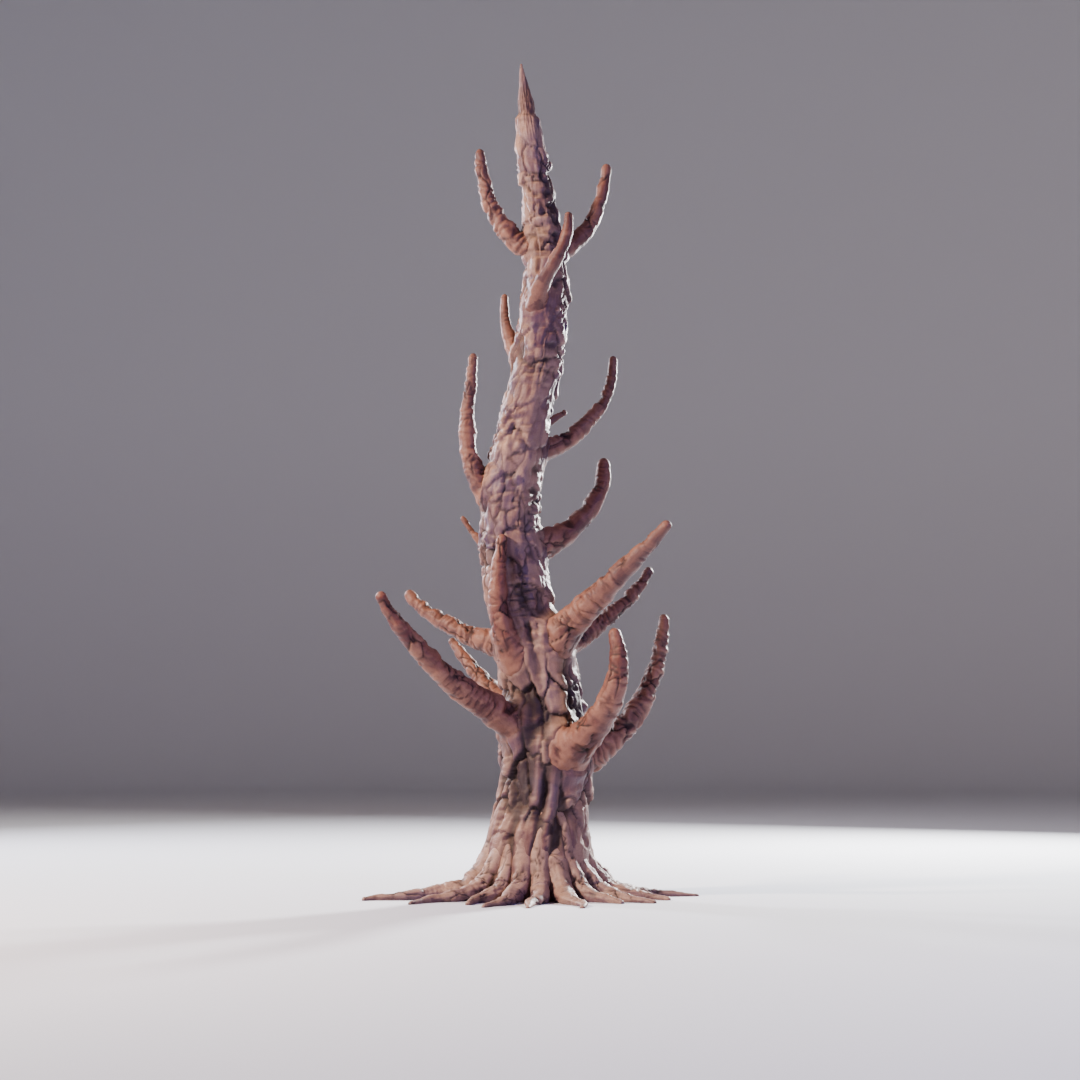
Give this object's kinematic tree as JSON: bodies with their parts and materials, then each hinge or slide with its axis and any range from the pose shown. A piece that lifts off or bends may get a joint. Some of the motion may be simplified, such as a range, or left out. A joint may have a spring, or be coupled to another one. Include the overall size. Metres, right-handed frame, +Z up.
{
  "type": "standing dead tree",
  "caption": "Leafless standing dead tree: a stout, sinuous trunk ending in a splintered spike, short horn-like upturned boughs all round, and surface roots over the ground.",
  "frame": {"origin": "middle of the flat cut under the trunk, at ground level", "axes": "+Z up along the trunk, -Y the front that is seen, +X to the viewer's right"},
  "size_m": [3.158, 2.7676, 8],
  "materials": {
    "trunk_bark": "weathered bark in plates, matt",
    "bough_bark": "weathered wood with cross wrinkles, matt",
    "root_bark": "weathered bark, wrinkled, matt"
  },
  "bodies": {
    "root": {"trunk": "trunk_bark", "bough_crown_front": "bough_bark", "bough_crown_left": "bough_bark", "bough_crown_right": "bough_bark", "bough_low_left_back": "bough_bark", "bough_low_left_front": "bough_bark", "bough_low_right_back": "bough_bark", "bough_low_right_front": "bough_bark", "bough_middle_back": "bough_bark", "bough_middle_left": "bough_bark", "bough_middle_left_spur": "bough_bark", "bough_middle_right": "bough_bark", "bough_upper_back": "bough_bark", "bough_upper_left_spur": "bough_bark", "bough_upper_right": "bough_bark", "bough_upper_right_stub": "bough_bark", "bough_waist_front": "bough_bark", "bough_waist_left_back": "bough_bark", "bough_waist_right_back": "bough_bark", "bough_waist_right_front": "bough_bark", "root_1": "root_bark", "root_2": "root_bark", "root_3": "root_bark", "root_4": "root_bark", "root_5": "root_bark", "root_6": "root_bark", "root_7": "root_bark", "root_8": "root_bark", "root_9": "root_bark", "root_10": "root_bark", "root_11": "root_bark", "root_12": "root_bark", "root_13": "root_bark", "root_14": "root_bark", "root_15": "root_bark"}
  },
  "joints": []
}
